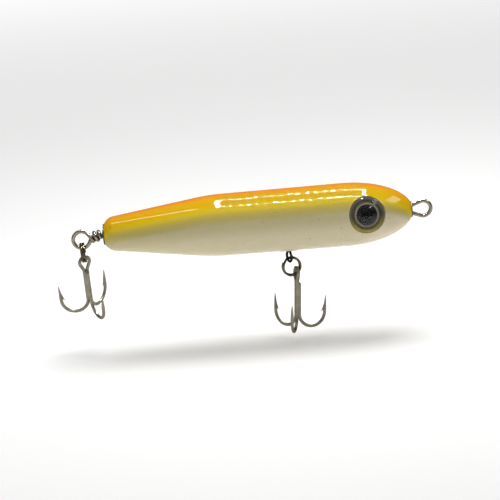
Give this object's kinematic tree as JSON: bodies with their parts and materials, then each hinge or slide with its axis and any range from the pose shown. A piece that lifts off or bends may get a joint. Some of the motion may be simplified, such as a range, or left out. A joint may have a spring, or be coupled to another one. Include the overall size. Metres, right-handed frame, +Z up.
{
  "type": "topwater stick bait lure",
  "caption": "Lathe-turned wooden surface lure with a through wire, a swivel belly hanger, split rings, treble hooks and domed eyes.",
  "frame": {"origin": "centre of the line tie's opening at the nose", "axes": "+X out of the nose along the body's axis, +Z up out of the back, +Y to the lure's left side"},
  "size_m": [0.1575, 0.0307, 0.0609],
  "materials": {
    "body": "gloss clear coat over airbrushed paint",
    "through_wire": "bright drawn stainless wire",
    "nose_washer": "dull",
    "tail_washer": "darkened",
    "swivel_upper_eye": "black plate",
    "swivel_barrel": "darkened",
    "swivel_lower_eye": "black plate",
    "belly_split_ring": "bright stainless",
    "belly_double_hook": "satin tinned",
    "belly_third_hook": "satin tinned",
    "tail_split_ring": "bright stainless",
    "tail_double_hook": "satin tinned",
    "tail_third_hook": "satin tinned",
    "left_eye_disc": "printed",
    "left_eye_dome": "clear",
    "right_eye_disc": "printed",
    "right_eye_dome": "clear",
    "belly_weight": "dull, stands in for lead",
    "belly_weight_plug": "gloss clear coat over paint",
    "tail_weight": "dull, stands in for lead",
    "tail_weight_plug": "gloss clear coat over paint"
  },
  "bodies": {
    "lure_body": {"body": "body", "through_wire": "through_wire", "nose_washer": "nose_washer", "tail_washer": "tail_washer", "left_eye_disc": "left_eye_disc", "left_eye_dome": "left_eye_dome", "right_eye_disc": "right_eye_disc", "right_eye_dome": "right_eye_dome", "belly_weight": "belly_weight", "belly_weight_plug": "belly_weight_plug", "tail_weight": "tail_weight", "tail_weight_plug": "tail_weight_plug"},
    "swivel_top": {"swivel_upper_eye": "swivel_upper_eye"},
    "swivel_case": {"swivel_barrel": "swivel_barrel"},
    "swivel_bottom": {"swivel_lower_eye": "swivel_lower_eye"},
    "belly_ring": {"belly_split_ring": "belly_split_ring"},
    "belly_treble": {"belly_double_hook": "belly_double_hook", "belly_third_hook": "belly_third_hook"},
    "tail_ring": {"tail_split_ring": "tail_split_ring"},
    "tail_treble": {"tail_double_hook": "tail_double_hook", "tail_third_hook": "tail_third_hook"}
  },
  "joints": [
    {"name": "belly_swivel_rock", "type": "hinge", "parent": "lure_body", "child": "swivel_top", "pos_m": [-0.0564, 0, 0], "axis": [1, 0, 0], "range_deg": [-5, 5]},
    {"name": "belly_barrel_spin", "type": "hinge", "parent": "swivel_top", "child": "swivel_case", "pos_m": [-0.0564, 0, -0.00466], "axis": [0, 0, 1], "continuous": true},
    {"name": "belly_eye_spin", "type": "hinge", "parent": "swivel_case", "child": "swivel_bottom", "pos_m": [-0.0564, 0, -0.01187], "axis": [0, 0, 1], "continuous": true},
    {"name": "belly_ring_swing", "type": "hinge", "parent": "swivel_bottom", "child": "belly_ring", "pos_m": [-0.0564, 0, -0.01794], "axis": [0.4226, -0.9063, 0], "range_deg": [-60, 50]},
    {"name": "belly_treble_swing", "type": "hinge", "parent": "belly_ring", "child": "belly_treble", "pos_m": [-0.05386, 0.00073, -0.0233], "axis": [0.8152, 0.2338, 0.5299], "range_deg": [-70, 90]},
    {"name": "tail_ring_swing", "type": "hinge", "parent": "lure_body", "child": "tail_ring", "pos_m": [-0.14108, 0, -0.005], "axis": [1, 0, 0], "range_deg": [-96, 64]},
    {"name": "tail_treble_swing", "type": "hinge", "parent": "tail_ring", "child": "tail_treble", "pos_m": [-0.14108, 0.00178, -0.01122], "axis": [-0.1736, 0.9467, 0.2714], "range_deg": [-60, 110]}
  ]
}
